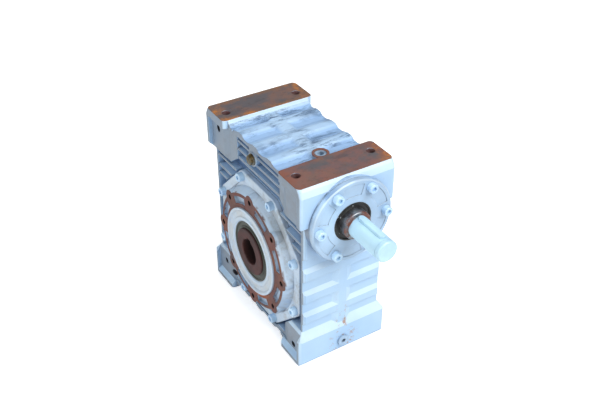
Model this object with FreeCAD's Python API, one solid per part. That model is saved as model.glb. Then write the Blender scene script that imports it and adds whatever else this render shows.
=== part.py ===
import FreeCAD, Part
import math
import os

# Worm gear reducer of 110 mm centre distance, all lengths in millimetres.
# X is the output (hollow shaft) axis, Y the input (worm) axis, Z points up.
# The origin is the middle of the output bore; the input shaft leaves towards -Y.

# Overall casing
base_z = -122.5
top_z = 172.5
foot_half_width = 71.5
pad_inner_y = 71.5
pad_outer_y = 121.5
upper_foot_y = 128.0
lower_foot_y = 125.0
body_half_width = 62.0
body_half_depth = 121.0
body_bottom_z = -117.0
body_top_z = 167.0
body_edge_radius = 5.0
foot_corner_radius = 6.0

# Rims around the hollowed ends of the feet
foot_rim_y = 118.0
upper_rim_height = 12.5
lower_rim_height = 7.0
foot_hollow_x = 65.5
foot_end_hole_radius = 5.0

# Ribbed faces: shallow pockets either side of a plain middle band
rib_depth = 4.0
rib_band_half_width = 6.0
rib_band_draft = 9.0
rib_slope = 6.0
top_valley_width = 9.0
top_ramp = 14.0
end_valley_width = 16.0
end_ramp = 2.5
top_slope_positions = (71.0, 33.0, -6.0, -44.0)
front_slope_positions = (39.5, 2.0, -35.5, -72.0)

# Side walls: recessed floor with cooling fins around an octagonal flange
side_floor_x = 50.0
flange_seat_x = 54.0
fin_outer_x = 61.0
fin_thickness = 3.4
long_fin_heights = (151.0, 138.0, 124.5)
long_fin_front_y = -62.0
long_fin_rear_y = 51.0
short_fin_heights = (97.5, 80.0, 66.0)
short_fin_inner_y = 60.0
side_recess_y = 113.5
side_recess_top = 158.0
side_recess_bottom = -104.0
column_y = 7.0
column_z = 145.0
column_half_width = 9.5

# Pads and their tapped holes
pad_hole_x = 56.0
pad_hole_y = 92.0
pad_hole_radius = 6.0
pad_hole_depth = 24.0

# Gear set
centre_distance = 110.0
module = 5.5
wheel_teeth = 30
worm_pitch_radius = 27.5
worm_tip_radius = 33.0
worm_root_radius = 20.9
worm_thread_half_length = 45.0
worm_thread_turns_before_middle = 4.25
backlash_half = 0.30
pressure_angle = math.radians(20.0)
wheel_outer_radius = 90.5
wheel_half_width = 22.0
wheel_bore_radius = 64.0
wheel_throat_radius = 22.0
wheel_root_radius = 75.7

# Housing interior
cavity_radius = 98.0
cavity_half_width = 42.0
opening_radius = 92.0
worm_tunnel_radius = 37.0
worm_bore_radius = 34.0

# Output covers
octagon_half = 108.0
octagon_corner_radius = 14.0
cover_plate_x = 61.5
cover_field_half = 95.5
cover_field_corner_radius = 34.0
cover_field_depth = 1.5
gasket_thickness = 0.5
cover_face_x = 74.0
pilot_x = 77.0
pilot_radius = 65.0
flange_ring_radius = 86.0
flange_hole_circle = 82.5
flange_boss_radius = 10.5
cover_screw_circle = 107.0
pocket_inner_radius = 71.0
pocket_outer_radius = 81.5
pocket_depth = 5.0

# Output shaft group
hollow_shaft_radius = 35.0
hollow_shaft_half_length = 77.5
hollow_bore_radius = 19.0
hollow_key_width = 10.0
hollow_key_depth = 3.3
wheel_seat_radius = 37.5
wheel_seat_half_length = 24.0
output_bearing_inner_x = 41.0
output_bearing_width = 20.0
output_bearing_radius = 55.0
output_ball_radius = 6.35
output_ball_circle = 45.0
output_ball_count = 12
output_seal_radius = 45.0
output_seal_width = 10.0
output_seal_outer_x = 74.5
running_gap = 0.06

# Input side
input_face_y = 129.5
input_cover_front_y = 137.5
input_cover_radius = 60.0
input_screw_circle = 50.5
rear_cover_radius = 50.0
rear_screw_circle = 42.0
input_shaft_radius = 15.0
input_shaft_end_y = 211.0
input_shoulder_y = 149.0
input_journal_radius = 20.0
input_key_width = 8.0
input_key_height = 7.0
input_key_start_y = 152.0
input_key_end_y = 202.0
input_seal_radius = 28.0
input_seal_width = 8.0
input_bearing_start_y = 93.0
input_bearing_width = 19.0
roller_radius = 3.6
roller_circle = 27.0
roller_count = 16

# Plugs
filler_y = -61.0
filler_boss_radius = 11.5
filler_boss_top = 171.0
drain_z = -104.5

# Hexagon socket screws, size M8
screw_radius = 4.0
screw_head_radius = 6.5
screw_head_height = 8.0
screw_socket_across_flats = 6.0
screw_socket_depth = 3.0

AXIS = {
    "x": FreeCAD.Vector(1, 0, 0),
    "y": FreeCAD.Vector(0, 1, 0),
    "z": FreeCAD.Vector(0, 0, 1),
}


def box(x0, x1, y0, y1, z0, z1):
    """Axis-parallel block between two corners."""
    return Part.makeBox(x1 - x0, y1 - y0, z1 - z0, FreeCAD.Vector(x0, y0, z0))


def rod(axis, radius, start, end, centre=(0.0, 0.0)):
    """Cylinder along one axis; centre holds the two other coordinates in x, y, z order."""
    first, second = centre
    origin = {
        "x": FreeCAD.Vector(start, first, second),
        "y": FreeCAD.Vector(first, start, second),
        "z": FreeCAD.Vector(first, second, start),
    }[axis]
    return Part.makeCylinder(radius, end - start, origin, AXIS[axis])


def tube(axis, inner, outer, start, end, centre=(0.0, 0.0)):
    """Plain ring or sleeve along one axis."""
    return rod(axis, outer, start, end, centre).cut(rod(axis, inner, start, end, centre))


def polygon_face(points):
    """Flat face bounded by straight edges through the given vectors."""
    return Part.Face(Part.makePolygon(points + [points[0]]))


def prism_x(outline, x0, x1):
    """Solid with a (y, z) outline between two X positions."""
    face = polygon_face([FreeCAD.Vector(x0, y, z) for y, z in outline])
    return face.extrude(FreeCAD.Vector(x1 - x0, 0, 0))


def turned_x(profile):
    """Turned solid about the output axis from (x, radius) points."""
    face = polygon_face([FreeCAD.Vector(x, 0, radius) for x, radius in profile])
    return face.revolve(FreeCAD.Vector(0, 0, 0), AXIS["x"], 360)


def turned_y(profile):
    """Turned solid about the worm axis from (y, radius) points."""
    face = polygon_face([FreeCAD.Vector(0, y, centre_distance + radius) for y, radius in profile])
    return face.revolve(FreeCAD.Vector(0, 0, centre_distance), AXIS["y"], 360)


def fused(pieces):
    """One solid out of several touching ones, without leftover seams."""
    return pieces[0].multiFuse(pieces[1:]).removeSplitter()


def drilled(body, tools):
    """Body with all tools cut away."""
    return body.cut(Part.makeCompound(tools))


def mirrored_x(shape):
    """The same piece on the other end of the output axis."""
    return shape.mirror(FreeCAD.Vector(0, 0, 0), AXIS["x"])


def mirrored_y(shape):
    """The same piece on the other end of the worm axis."""
    return shape.mirror(FreeCAD.Vector(0, 0, 0), AXIS["y"])


def on_both_sides(shape):
    """The piece and its mirror image across the middle plane of the casing."""
    return [shape, mirrored_x(shape)]


def ring_points(radius, count, first_angle):
    """Evenly spaced points on a circle, as pairs of coordinates."""
    step = 360.0 / count
    angles = [math.radians(first_angle + step * index) for index in range(count)]
    return [(radius * math.cos(angle), radius * math.sin(angle)) for angle in angles]


def worm_axis_ring(radius, count, first_angle):
    """The same around the worm axis."""
    return [(x, centre_distance + z) for x, z in ring_points(radius, count, first_angle)]


def octagon(half_across_flats, x0, x1, corner_radius):
    """Octagonal plate about the output axis with rounded corners."""
    corner = half_across_flats / math.cos(math.radians(22.5))
    plate = prism_x(ring_points(corner, 8, 22.5), x0, x1)
    upright = [edge for edge in plate.Edges if abs(edge.tangentAt(edge.FirstParameter).x) > 0.9]
    return plate.makeFillet(corner_radius, upright)


def hexagon_prism(axis, across_flats, start, end, centre=(0.0, 0.0)):
    """Six-sided prism along the X, Y or Z axis."""
    flat = [
        (centre[0] + first, centre[1] + second)
        for first, second in ring_points(across_flats / math.sqrt(3.0), 6, 0.0)
    ]
    corners = {
        "x": [FreeCAD.Vector(start, first, second) for first, second in flat],
        "y": [FreeCAD.Vector(first, start, second) for first, second in flat],
        "z": [FreeCAD.Vector(first, second, start) for first, second in flat],
    }[axis]
    return polygon_face(corners).extrude(AXIS[axis] * (end - start))


def socket_screw(axis, centre, seat, direction, shank_length):
    """Socket head screw; direction is the sign of the axis that points out of the casing."""
    tip = seat - direction * shank_length
    head_end = seat + direction * screw_head_height
    socket_floor = head_end - direction * screw_socket_depth
    head = rod(axis, screw_head_radius, min(seat, head_end), max(seat, head_end), centre)
    rims = [edge for edge in head.Edges if edge.Closed and edge.Length > 1.0]
    outer_rim = [edge for edge in rims if abs(getattr(edge.CenterOfMass, axis) - head_end) < 0.01]
    head = head.makeChamfer(0.8, outer_rim)
    shank = rod(axis, screw_radius - 0.05, min(seat, tip), max(seat, tip), centre)
    low, high = sorted((socket_floor, head_end))
    socket = hexagon_prism(axis, screw_socket_across_flats, low, high, centre)
    return head.fuse(shank).removeSplitter().cut(socket)


# ---------------------------------------------------------------- casing

def is_foot_corner(edge):
    """True for the upright and sloping edges that bound an end face of a foot."""
    at_end = all(abs(abs(vertex.X) - foot_half_width) < 0.1 for vertex in edge.Vertexes)
    return at_end and edge.BoundBox.ZLength > 3.0


def foot(side_y, upper):
    """One of the four mounting feet: pad block tapering down to the ribbed body."""
    near, mid = pad_inner_y, body_half_depth - rib_depth - 0.5
    edge = body_half_width - 0.5
    if upper:
        outer, groove = upper_foot_y, body_top_z - rib_depth
        across = [(foot_half_width, top_z), (foot_half_width, 116.0), (edge, 106.0)]
        lengthwise = [
            (near, top_z), (pad_outer_y, top_z), (pad_outer_y + 3.0, top_z - 3.5),
            (outer, top_z - 11.0), (outer, 116.0), (mid, 106.0), (near, 106.0),
        ]
    else:
        outer, groove = lower_foot_y, body_bottom_z + rib_depth
        across = [
            (foot_half_width - 1.0, base_z), (foot_half_width, base_z + 1.0),
            (foot_half_width, -80.0), (edge, -64.0),
        ]
        lengthwise = [
            (near, base_z), (pad_outer_y, base_z), (outer, base_z + 3.5),
            (outer, -79.0), (mid, -66.0), (near, -66.0),
        ]
    across += [(-x, z) for x, z in reversed(across)]
    face = polygon_face([FreeCAD.Vector(x, near, z) for x, z in across])
    block = face.extrude(FreeCAD.Vector(0, outer - near, 0))
    block = block.common(prism_x(lengthwise, -foot_half_width, foot_half_width))
    corners = [edge for edge in block.Edges if is_foot_corner(edge)]
    block = block.makeFillet(foot_corner_radius, corners)
    outward = 1.0 if upper else -1.0
    pad_level = top_z if upper else base_z
    scoop = [
        (near, pad_level), (near - 2.0, pad_level - outward * 4.5), (near - 5.5, groove + outward * 2.2),
        (near - 10.5, groove), (near - 10.5, groove - outward * 8.0), (near, groove - outward * 8.0),
    ]
    result = fused([block, prism_x(scoop, -body_half_width - 2.0, body_half_width + 2.0)])
    if side_y < 0:
        result = mirrored_y(result)
    return result


def foot_end_hollows():
    """Hollows in the left ends of the feet, running out flush with the side wall of the body."""
    upper_rim_z = top_z - upper_rim_height
    lower_rim_z = base_z + lower_rim_height
    ledge_z = lower_rim_z + 6.0
    upper = [(-73.0, upper_rim_z), (-foot_hollow_x, upper_rim_z), (-foot_hollow_x, 90.0), (-73.0, 90.0)]
    lower = [(-73.0, lower_rim_z - 2.0), (-foot_hollow_x, ledge_z), (-foot_hollow_x, -50.0), (-73.0, -50.0)]
    run_out = [
        (-73.0, 60.0), (-body_half_width, 60.0), (-body_half_width, pad_inner_y),
        (-foot_hollow_x, pad_inner_y + 12.0), (-73.0, pad_inner_y + 12.0),
    ]
    hollows = []
    for outline, low, high in ((upper, 90.0, upper_rim_z), (lower, ledge_z, -50.0)):
        face = polygon_face([FreeCAD.Vector(x, 60.0, z) for x, z in outline])
        floor = face.extrude(FreeCAD.Vector(0, foot_rim_y - 60.0, 0))
        face = polygon_face([FreeCAD.Vector(x, y, low) for x, y in run_out])
        ramp = face.extrude(FreeCAD.Vector(0, 0, high - low))
        hollow = floor.fuse(ramp)
        hollows.extend([hollow, mirrored_y(hollow)])
    return hollows


def foot_end_holes():
    """Blind holes in the left ends of the feet."""
    spots = [(98.0, -88.0), (76.0, -97.0), (-99.0, -101.5), (99.0, 147.0)]
    return [
        rod("x", foot_end_hole_radius, -foot_half_width - 1.0, -foot_hollow_x + 15.0, spot)
        for spot in spots
    ]


def rib_outline(slope_at, valley_width, ramp, direction):
    """Depth profile of one pocket as (position, depth) pairs, from its crest to the next one."""
    top = slope_at + direction * rib_slope / 2
    floor = slope_at - direction * rib_slope / 2
    floor_end = floor - direction * valley_width
    return [(top, -0.01), (floor, rib_depth), (floor_end, rib_depth), (floor_end - direction * ramp, -0.01)]


def top_pockets():
    """Shallow pockets on the upper and lower faces, open towards the sides."""
    tools = []
    reach = foot_half_width + 5.0
    for level, inward in ((body_top_z, -1.0), (body_bottom_z, 1.0)):
        draft = polygon_face([
            FreeCAD.Vector(rib_band_half_width, -110.0, level - inward * 0.02),
            FreeCAD.Vector(rib_band_half_width + rib_band_draft, -110.0, level + inward * (rib_depth + 0.01)),
            FreeCAD.Vector(reach, -110.0, level + inward * (rib_depth + 0.01)),
            FreeCAD.Vector(reach, -110.0, level - inward * 0.02),
        ]).extrude(FreeCAD.Vector(0, 220.0, 0))
        for slope_y in top_slope_positions:
            profile = rib_outline(slope_y, top_valley_width, top_ramp, 1.0)
            outline = [(y, level + inward * depth) for y, depth in profile]
            tools.extend(on_both_sides(prism_x(outline, 0.0, reach).common(draft)))
    return tools


def end_pockets():
    """The same pockets on the front and rear faces."""
    tools = []
    reach = foot_half_width + 5.0
    groove_y = body_half_depth - rib_depth - 0.01
    for side in (-1.0, 1.0):
        draft = polygon_face([
            FreeCAD.Vector(rib_band_half_width, side * (body_half_depth + 0.02), -110.0),
            FreeCAD.Vector(rib_band_half_width + rib_band_draft, side * groove_y, -110.0),
            FreeCAD.Vector(reach, side * groove_y, -110.0),
            FreeCAD.Vector(reach, side * (body_half_depth + 0.02), -110.0),
        ]).extrude(FreeCAD.Vector(0, 0, 220.0))
        for slope_z in front_slope_positions:
            profile = rib_outline(slope_z, end_valley_width, end_ramp, -1.0)
            outline = [(side * (body_half_depth - depth), z) for z, depth in profile]
            tools.extend(on_both_sides(prism_x(outline, 0.0, reach).common(draft)))
    return tools


def side_recess():
    """Recess in the left wall that leaves a frame and plain corner blocks standing."""
    front = [
        (-side_recess_y, -66.0), (-side_recess_y, 105.0), (-78.0, 107.0),
        (long_fin_front_y, 122.0), (long_fin_front_y, side_recess_top),
    ]
    rear = [
        (long_fin_rear_y, side_recess_top), (long_fin_rear_y, 122.0),
        (72.0, 107.0), (side_recess_y, 105.0), (side_recess_y, -66.0),
    ]
    outline = front + rear + [(68.0, side_recess_bottom), (-68.0, side_recess_bottom)]
    return prism_x(outline, -body_half_width - 1.0, -side_floor_x)


def side_fins():
    """Cooling fins, plug column and flange seat inside the left recess."""
    root_x = -side_floor_x + 2.0
    spans = [(height, long_fin_front_y - 1.0, long_fin_rear_y + 1.0) for height in long_fin_heights]
    for height in short_fin_heights:
        spans.append((height, -side_recess_y - 1.0, -short_fin_inner_y))
        spans.append((height, short_fin_inner_y, side_recess_y + 1.0))
    pieces = [
        box(-fin_outer_x, root_x, start, end, height - fin_thickness / 2, height + fin_thickness / 2)
        for height, start, end in spans
    ]
    pieces.append(box(-body_half_width, root_x, column_y - column_half_width,
                      column_y + column_half_width, column_z - 7.0, side_recess_top + 2.0))
    pieces.append(rod("x", column_half_width + 1.0, -body_half_width - 1.0, root_x, (column_y, column_z)))
    pieces.append(rod("x", 6.5, -body_half_width - 1.2, -body_half_width + 1.0, (-71.0, 146.0)))
    pieces.append(octagon(octagon_half, -flange_seat_x, root_x, octagon_corner_radius))
    return pieces


def make_housing():
    """Cast casing with feet, ribs, fins, bores and all threaded holes."""
    core = box(-body_half_width, body_half_width, -body_half_depth, body_half_depth,
               body_bottom_z, body_top_z)
    upright = [edge for edge in core.Edges if abs(edge.tangentAt(edge.FirstParameter).z) > 0.9]
    core = core.makeFillet(body_edge_radius, upright)
    core = drilled(core, top_pockets() + end_pockets())
    core = drilled(core, on_both_sides(side_recess()))

    hollows = []
    for hollow in foot_end_hollows():
        hollows.extend(on_both_sides(hollow))
    feet = [drilled(foot(side, upper), hollows) for side in (-1, 1) for upper in (True, False)]
    additions = feet
    for piece in side_fins():
        additions.extend(on_both_sides(piece))
    worm_axis = (0.0, centre_distance)
    additions.append(rod("y", input_cover_radius + 0.5, -input_face_y, -104.0, worm_axis))
    additions.append(rod("y", rear_cover_radius + 0.5, 104.0, input_face_y, worm_axis))
    additions.append(rod("z", filler_boss_radius, 152.0, filler_boss_top, (0.0, filler_y)))
    casing = fused([core] + additions)

    cuts = [
        octagon(octagon_half + 2.0, flange_seat_x, 80.0, octagon_corner_radius),
        octagon(octagon_half + 2.0, -80.0, -flange_seat_x, octagon_corner_radius),
        rod("x", cavity_radius, -cavity_half_width, cavity_half_width),
        rod("x", opening_radius, -flange_seat_x - 1.0, flange_seat_x + 1.0),
        rod("y", worm_tunnel_radius, -82.0, 82.0, worm_axis),
        rod("y", worm_bore_radius, -140.0, 140.0, worm_axis),
        rod("z", 8.0, 140.0, filler_boss_top + 1.0, (0.0, filler_y)),
        rod("y", 6.0, -lower_foot_y - 1.0, -84.0, (0.0, drain_z)),
    ]
    drain_start = FreeCAD.Vector(0, -88.0, drain_z)
    drain_path = FreeCAD.Vector(0, 88.0, -drain_z)
    cuts.append(Part.makeCylinder(4.0, 48.0, drain_start, drain_path))
    cuts.extend(on_both_sides(rod("x", 5.0, -66.0, -15.0, (column_y, column_z))))
    for hole in foot_end_holes():
        cuts.extend(on_both_sides(hole))
    for x in (-pad_hole_x, pad_hole_x):
        for y in (-pad_hole_y, pad_hole_y):
            cuts.append(rod("z", pad_hole_radius, top_z - pad_hole_depth, top_z + 1.0, (x, y)))
            cuts.append(rod("z", pad_hole_radius, base_z - 1.0, base_z + pad_hole_depth, (x, y)))
    for spot in ring_points(cover_screw_circle, 8, 22.5):
        cuts.extend(on_both_sides(rod("x", screw_radius, -flange_seat_x - 1.0, -36.0, spot)))
    for spot in worm_axis_ring(input_screw_circle, 6, 0.0):
        cuts.append(rod("y", screw_radius, -input_face_y - 1.0, -109.0, spot))
    for spot in worm_axis_ring(rear_screw_circle, 6, 0.0):
        cuts.append(rod("y", screw_radius, 109.0, input_face_y + 1.0, spot))
    return drilled(casing, cuts)


# ---------------------------------------------------------------- output side, built for -X

def make_output_cover():
    """Octagonal bearing cover with mounting flange, pilot ring, bearing seat and seal seat."""
    seat_x = flange_seat_x + gasket_thickness
    plate = octagon(octagon_half, -cover_plate_x, -seat_x, octagon_corner_radius)
    rim = [edge for edge in plate.Edges if abs(edge.CenterOfMass.x + cover_plate_x) < 0.01]
    plate = plate.makeFillet(1.5, rim)
    plate = plate.cut(octagon(cover_field_half, -cover_plate_x - 1.0, -cover_plate_x + cover_field_depth,
                              cover_field_corner_radius))
    hub = turned_x([
        (-cover_plate_x + cover_field_depth + 1.0, 94.5), (-cover_plate_x + cover_field_depth, 93.5),
        (-cover_face_x + 2.0, flange_ring_radius + 1.0), (-cover_face_x + 0.5, flange_ring_radius + 0.3),
        (-cover_face_x, flange_ring_radius - 0.5),
        (-cover_face_x, pilot_radius), (-pilot_x + 0.5, pilot_radius), (-pilot_x, pilot_radius - 0.5),
        (-pilot_x, 61.5), (-pilot_x + 2.5, 59.0), (-pilot_x + 2.5, 52.5), (-pilot_x + 1.0, 51.0),
        (-pilot_x + 1.0, 47.0), (-pilot_x + 2.5, output_seal_radius),
        (-output_bearing_inner_x, output_seal_radius),
        (-output_bearing_inner_x, 62.0), (-47.0, 62.0), (-50.0, 66.0), (-50.0, 84.0), (-47.0, 86.0),
        (-47.0, opening_radius - running_gap), (-seat_x, opening_radius - running_gap),
    ])
    boss_foot_x = cover_plate_x - cover_field_depth - 1.0
    bosses = [
        Part.makeCone(flange_boss_radius + 1.5, flange_boss_radius, cover_face_x - boss_foot_x,
                      FreeCAD.Vector(-boss_foot_x, y, z), FreeCAD.Vector(-1, 0, 0))
        for y, z in ring_points(flange_hole_circle, 8, 0.0)
    ]
    cover = fused([plate, hub] + bosses)

    bearing_outer_x = output_bearing_inner_x + output_bearing_width
    seal_inner_x = output_seal_outer_x - output_seal_width
    cuts = [
        rod("x", output_bearing_radius, -bearing_outer_x, -output_bearing_inner_x + 1.0),
        rod("x", 42.5, -seal_inner_x - 1.0, -output_bearing_inner_x),
        rod("x", output_seal_radius, -pilot_x - 1.0, -seal_inner_x),
    ]
    for spot in ring_points(flange_hole_circle, 8, 0.0):
        cuts.append(rod("x", screw_radius, -cover_face_x - 1.0, -58.0, spot))
    for spot in ring_points(cover_screw_circle, 8, 22.5):
        cuts.append(rod("x", screw_radius + 0.4, -cover_plate_x - 1.0, -seat_x + 1.0, spot))
    pocket_ring = tube("x", pocket_inner_radius, pocket_outer_radius,
                       -cover_face_x - 1.0, -cover_face_x + pocket_depth)
    wedge_reach = 90.0
    for index in range(8):
        middle = math.radians(22.5 + 45.0 * index)
        spread = math.radians(12.0)
        wedge = prism_x([
            (0.0, 0.0),
            (wedge_reach * math.cos(middle - spread), wedge_reach * math.sin(middle - spread)),
            (wedge_reach * math.cos(middle + spread), wedge_reach * math.sin(middle + spread)),
        ], -cover_face_x - 1.0, -cover_face_x + pocket_depth)
        cuts.append(pocket_ring.common(wedge))
    return drilled(cover, cuts)


def make_output_gasket():
    """Paper gasket between the casing and the octagonal cover."""
    sheet = octagon(octagon_half - 0.5, -flange_seat_x - gasket_thickness, -flange_seat_x,
                    octagon_corner_radius)
    cuts = [rod("x", opening_radius + 0.3, -flange_seat_x - 1.0, -flange_seat_x + 1.0)]
    for spot in ring_points(cover_screw_circle, 8, 22.5):
        cuts.append(rod("x", screw_radius + 0.4, -flange_seat_x - 1.0, -flange_seat_x + 1.0, spot))
    return drilled(sheet, cuts)


def make_output_screws():
    """Eight screws near the corners of the octagonal cover."""
    return [
        socket_screw("x", spot, -cover_plate_x, -1.0, 24.0)
        for spot in ring_points(cover_screw_circle, 8, 22.5)
    ]


def make_output_seal():
    """Radial shaft seal with a shallow front groove."""
    outer_x = output_seal_outer_x
    inner_x = outer_x - output_seal_width
    lip = hollow_shaft_radius + running_gap
    return turned_x([
        (-inner_x, output_seal_radius), (-inner_x, lip + 1.5), (-inner_x - 3.0, lip + 1.5),
        (-inner_x - 4.5, lip), (-outer_x, lip), (-outer_x, lip + 2.5),
        (-outer_x + 1.2, lip + 3.2), (-outer_x + 1.2, output_seal_radius - 3.0),
        (-outer_x, output_seal_radius - 2.2), (-outer_x, output_seal_radius),
    ])


def make_output_bearing():
    """Deep groove ball bearing: outer ring, inner ring, ball set and cage."""
    start = -output_bearing_inner_x - output_bearing_width
    end = -output_bearing_inner_x
    middle = (start + end) / 2
    groove = Part.makeTorus(output_ball_circle, output_ball_radius + 0.1,
                            FreeCAD.Vector(middle, 0, 0), AXIS["x"])
    outer = tube("x", 48.5, output_bearing_radius, start, end).cut(groove)
    inner = tube("x", hollow_shaft_radius, 41.5, start, end).cut(groove)
    spots = ring_points(output_ball_circle, output_ball_count, 0.0)
    balls = [Part.makeSphere(output_ball_radius, FreeCAD.Vector(middle, y, z)) for y, z in spots]
    openings = [Part.makeSphere(output_ball_radius + 0.15, FreeCAD.Vector(middle, y, z)) for y, z in spots]
    cage = drilled(tube("x", 43.2, 46.8, middle - 8.0, middle + 8.0), openings)
    return outer, inner, balls, cage


# ---------------------------------------------------------------- output shaft group

def make_hollow_shaft():
    """Hollow output shaft with keyed bore and a raised seat for the wheel hub."""
    half = hollow_shaft_half_length
    seat = wheel_seat_half_length
    body = turned_x([
        (-half, hollow_bore_radius + 1.0), (-half, hollow_shaft_radius - 1.0),
        (-half + 1.0, hollow_shaft_radius), (-seat, hollow_shaft_radius), (-seat, wheel_seat_radius),
        (seat, wheel_seat_radius), (seat, hollow_shaft_radius), (half - 1.0, hollow_shaft_radius),
        (half, hollow_shaft_radius - 1.0), (half, hollow_bore_radius + 1.0),
        (half - 1.0, hollow_bore_radius), (-half + 1.0, hollow_bore_radius),
    ])
    bore_keyway = box(-half - 1.0, half + 1.0, -hollow_key_width / 2, hollow_key_width / 2,
                      0.0, hollow_bore_radius + hollow_key_depth)
    return drilled(body, [bore_keyway, wheel_key_blank()])


def wheel_key_blank():
    """Feather key that carries the wheel hub."""
    return box(-18.0, 18.0, -6.0, 6.0, wheel_seat_radius - 5.0, wheel_seat_radius + 3.3)


def make_wheel_hub():
    """Cast iron hub between the hollow shaft and the bronze rim."""
    seat = wheel_seat_half_length
    hub = turned_x([
        (-seat, wheel_seat_radius), (-seat, 46.0), (-10.0, 48.0), (-10.0, 56.0),
        (-wheel_half_width, 58.0), (-wheel_half_width, wheel_bore_radius),
        (wheel_half_width, wheel_bore_radius), (wheel_half_width, 58.0), (10.0, 56.0), (10.0, 48.0),
        (seat, 46.0), (seat, wheel_seat_radius),
    ])
    return hub.cut(wheel_key_blank())


def involute_half_angle(radius):
    """Half of the angle taken up by one wheel tooth at a given radius."""
    pitch_radius = module * wheel_teeth / 2
    base_radius = pitch_radius * math.cos(pressure_angle)
    start = math.pi / (2 * wheel_teeth) + math.tan(pressure_angle) - pressure_angle
    local = math.acos(min(1.0, base_radius / max(radius, base_radius)))
    return start - (math.tan(local) - local)


def wheel_section(x, twist):
    """Closed outline of all wheel teeth in the plane at x, turned by a small angle."""
    tooth_pitch = 2 * math.pi / wheel_teeth
    thinning = backlash_half / (module * wheel_teeth / 2)
    radii = [wheel_root_radius, 77.6, 80.0, 82.5, 85.5, 88.5, wheel_outer_radius]

    def point(radius, angle):
        return FreeCAD.Vector(x, -radius * math.sin(angle + twist), radius * math.cos(angle + twist))

    edges = []
    for tooth in range(wheel_teeth):
        centre = (tooth + 0.5) * tooth_pitch
        half = [involute_half_angle(radius) - thinning for radius in radii]
        rising = [point(radius, centre - angle) for radius, angle in zip(radii, half)]
        falling = [point(radius, centre + angle) for radius, angle in zip(radii, half)][::-1]
        for flank in (rising, falling):
            curve = Part.BSplineCurve()
            curve.interpolate(flank)
            edges.append(curve.toShape())
        crest = Part.Arc(rising[-1], point(wheel_outer_radius, centre), falling[0]).toShape()
        edges.insert(len(edges) - 1, crest)
        next_start = point(wheel_root_radius, centre + tooth_pitch - half[0])
        root = Part.Arc(falling[-1], point(wheel_root_radius, centre + tooth_pitch / 2), next_start)
        edges.append(root.toShape())
    return Part.Wire(edges)


def make_wheel_rim():
    """Bronze worm wheel rim with helical teeth and a throated tip."""
    lead = math.pi * module
    swing = lead / (2 * math.pi) * wheel_half_width / worm_pitch_radius
    twist = swing / (module * wheel_teeth / 2)
    blank = Part.makeLoft([
        wheel_section(-wheel_half_width, -twist),
        wheel_section(wheel_half_width, twist),
    ], True, True)
    throat = Part.makeTorus(centre_distance, wheel_throat_radius, FreeCAD.Vector(0, 0, 0), AXIS["x"])
    return drilled(blank, [throat, rod("x", wheel_bore_radius, -30.0, 30.0)])


def make_spacer():
    """Sleeve between the wheel hub and the left bearing."""
    return tube("x", hollow_shaft_radius, 42.0, -output_bearing_inner_x, -wheel_seat_half_length)


# ---------------------------------------------------------------- input shaft group

def key_blank():
    """Input key with round ends, standing proud on top of the shaft."""
    floor = centre_distance + input_shaft_radius - 4.0
    top = floor + input_key_height
    half = input_key_width / 2
    first = -input_key_end_y + half
    last = -input_key_start_y - half
    return fused([
        box(-half, half, first, last, floor, top),
        rod("z", half, floor, top, (0.0, first)),
        rod("z", half, floor, top, (0.0, last)),
    ])


def worm_thread():
    """Single start right hand thread, turned down conically at both ends."""
    lead = math.pi * module
    length = 2 * worm_thread_half_length + 3 * lead
    start_radius = worm_root_radius - 1.0
    half_at_pitch = math.pi * module / 4 - backlash_half
    slope = math.tan(pressure_angle)
    inner_half = half_at_pitch + (worm_pitch_radius - start_radius) * slope
    outer_half = half_at_pitch + (worm_pitch_radius - worm_tip_radius) * slope
    helix = Part.makeHelix(lead, length, worm_pitch_radius)
    profile = Part.makePolygon([
        FreeCAD.Vector(start_radius, 0, -inner_half),
        FreeCAD.Vector(worm_tip_radius, 0, -outer_half),
        FreeCAD.Vector(worm_tip_radius, 0, outer_half),
        FreeCAD.Vector(start_radius, 0, inner_half),
        FreeCAD.Vector(start_radius, 0, -inner_half),
    ])
    ridge = Part.Wire(helix).makePipeShell([profile], True, True)
    ridge.translate(FreeCAD.Vector(0, 0, -worm_thread_turns_before_middle * lead))
    ridge.rotate(FreeCAD.Vector(0, 0, 0), AXIS["x"], -90)
    ridge.translate(FreeCAD.Vector(0, 0, centre_distance))
    half = worm_thread_half_length
    envelope = turned_y([
        (-half - 6.0, 0.0), (-half - 6.0, worm_root_radius - 0.5), (-half + 4.0, worm_tip_radius - 0.01),
        (half - 4.0, worm_tip_radius - 0.01), (half + 6.0, worm_root_radius - 0.5), (half + 6.0, 0.0),
    ])
    return ridge.common(envelope)


def make_worm_shaft():
    """Input shaft with the worm cut from the solid, keyway and pilot groove at the end."""
    inner_end = input_bearing_start_y
    outer_end = input_bearing_start_y + input_bearing_width
    tip = input_shaft_end_y
    groove_start = input_key_end_y + 1.6
    groove_end = groove_start + 0.8
    stem = turned_y([
        (-tip, 0.0), (-tip, input_shaft_radius - 1.5), (-tip + 1.5, input_shaft_radius),
        (-groove_end, input_shaft_radius), (-groove_end, input_shaft_radius - 0.5),
        (-groove_start, input_shaft_radius - 0.5), (-groove_start, input_shaft_radius),
        (-input_shoulder_y, input_shaft_radius), (-input_shoulder_y, input_journal_radius - 1.0),
        (-input_shoulder_y + 1.0, input_journal_radius), (-inner_end, input_journal_radius),
        (-inner_end, 24.0), (-inner_end + 7.0, 24.0), (-inner_end + 10.0, worm_root_radius),
        (inner_end - 10.0, worm_root_radius), (inner_end - 7.0, 24.0), (inner_end, 24.0),
        (inner_end, input_journal_radius), (outer_end, input_journal_radius),
        (outer_end + 1.0, input_journal_radius - 1.0), (outer_end + 1.0, 0.0),
    ])
    return stem.fuse(worm_thread()).removeSplitter().cut(key_blank())


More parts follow.
